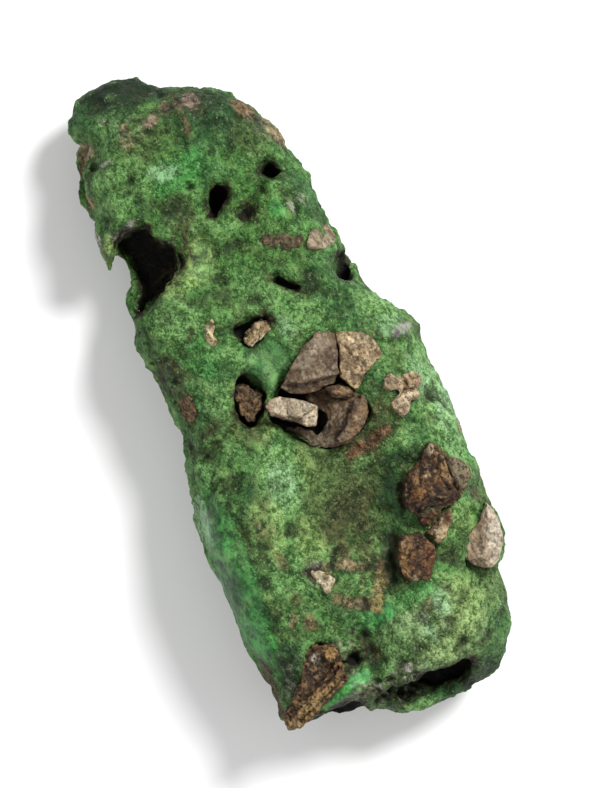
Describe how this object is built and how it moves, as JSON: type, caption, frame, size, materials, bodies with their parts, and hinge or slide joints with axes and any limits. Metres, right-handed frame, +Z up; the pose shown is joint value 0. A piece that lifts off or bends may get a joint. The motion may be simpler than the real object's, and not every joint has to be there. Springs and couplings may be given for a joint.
{
  "type": "variscite in matrix",
  "caption": "Rough slab of granular green variscite with brown and tan fragments of host rock set in it, pits and a side cavity, lying on its flat back.",
  "frame": {"origin": "centre of the bounding box in plan, on the flat break of the back that the stone rests on", "axes": "+X along the stone from its narrow end to its wide end, +Y across it, +Z up out of its finest face"},
  "size_m": [0.1191, 0.0485, 0.0273],
  "materials": {
    "green_variscite": "granular, sugary and dull, with waxy patches",
    "tan_rock": "dull, finely rough",
    "grey_rock": "dull, smooth broken faces",
    "dark_brown_rock": "dull, porous, iron stained",
    "russet_rock": "dull, iron stained"
  },
  "bodies": {
    "root": {"matrix_fragment_band_brown": "dark_brown_rock", "matrix_fragment_band_tan": "grey_rock", "matrix_fragment_block": "grey_rock", "matrix_fragment_corner_porous": "dark_brown_rock", "matrix_fragment_cracked_left": "grey_rock", "matrix_fragment_cracked_right": "grey_rock", "matrix_fragment_cracked_upper": "tan_rock", "matrix_fragment_edge_brown": "russet_rock", "matrix_fragment_forked": "tan_rock", "matrix_fragment_large_brown": "dark_brown_rock", "matrix_fragment_pale_chip": "tan_rock", "matrix_fragment_pit_brown": "dark_brown_rock", "matrix_fragment_pit_tan": "tan_rock", "matrix_fragment_rim_grey": "grey_rock", "matrix_fragment_russet": "russet_rock", "matrix_fragment_sliver_tan": "tan_rock", "matrix_fragment_small_tan": "tan_rock", "variscite": "green_variscite"}
  },
  "joints": []
}
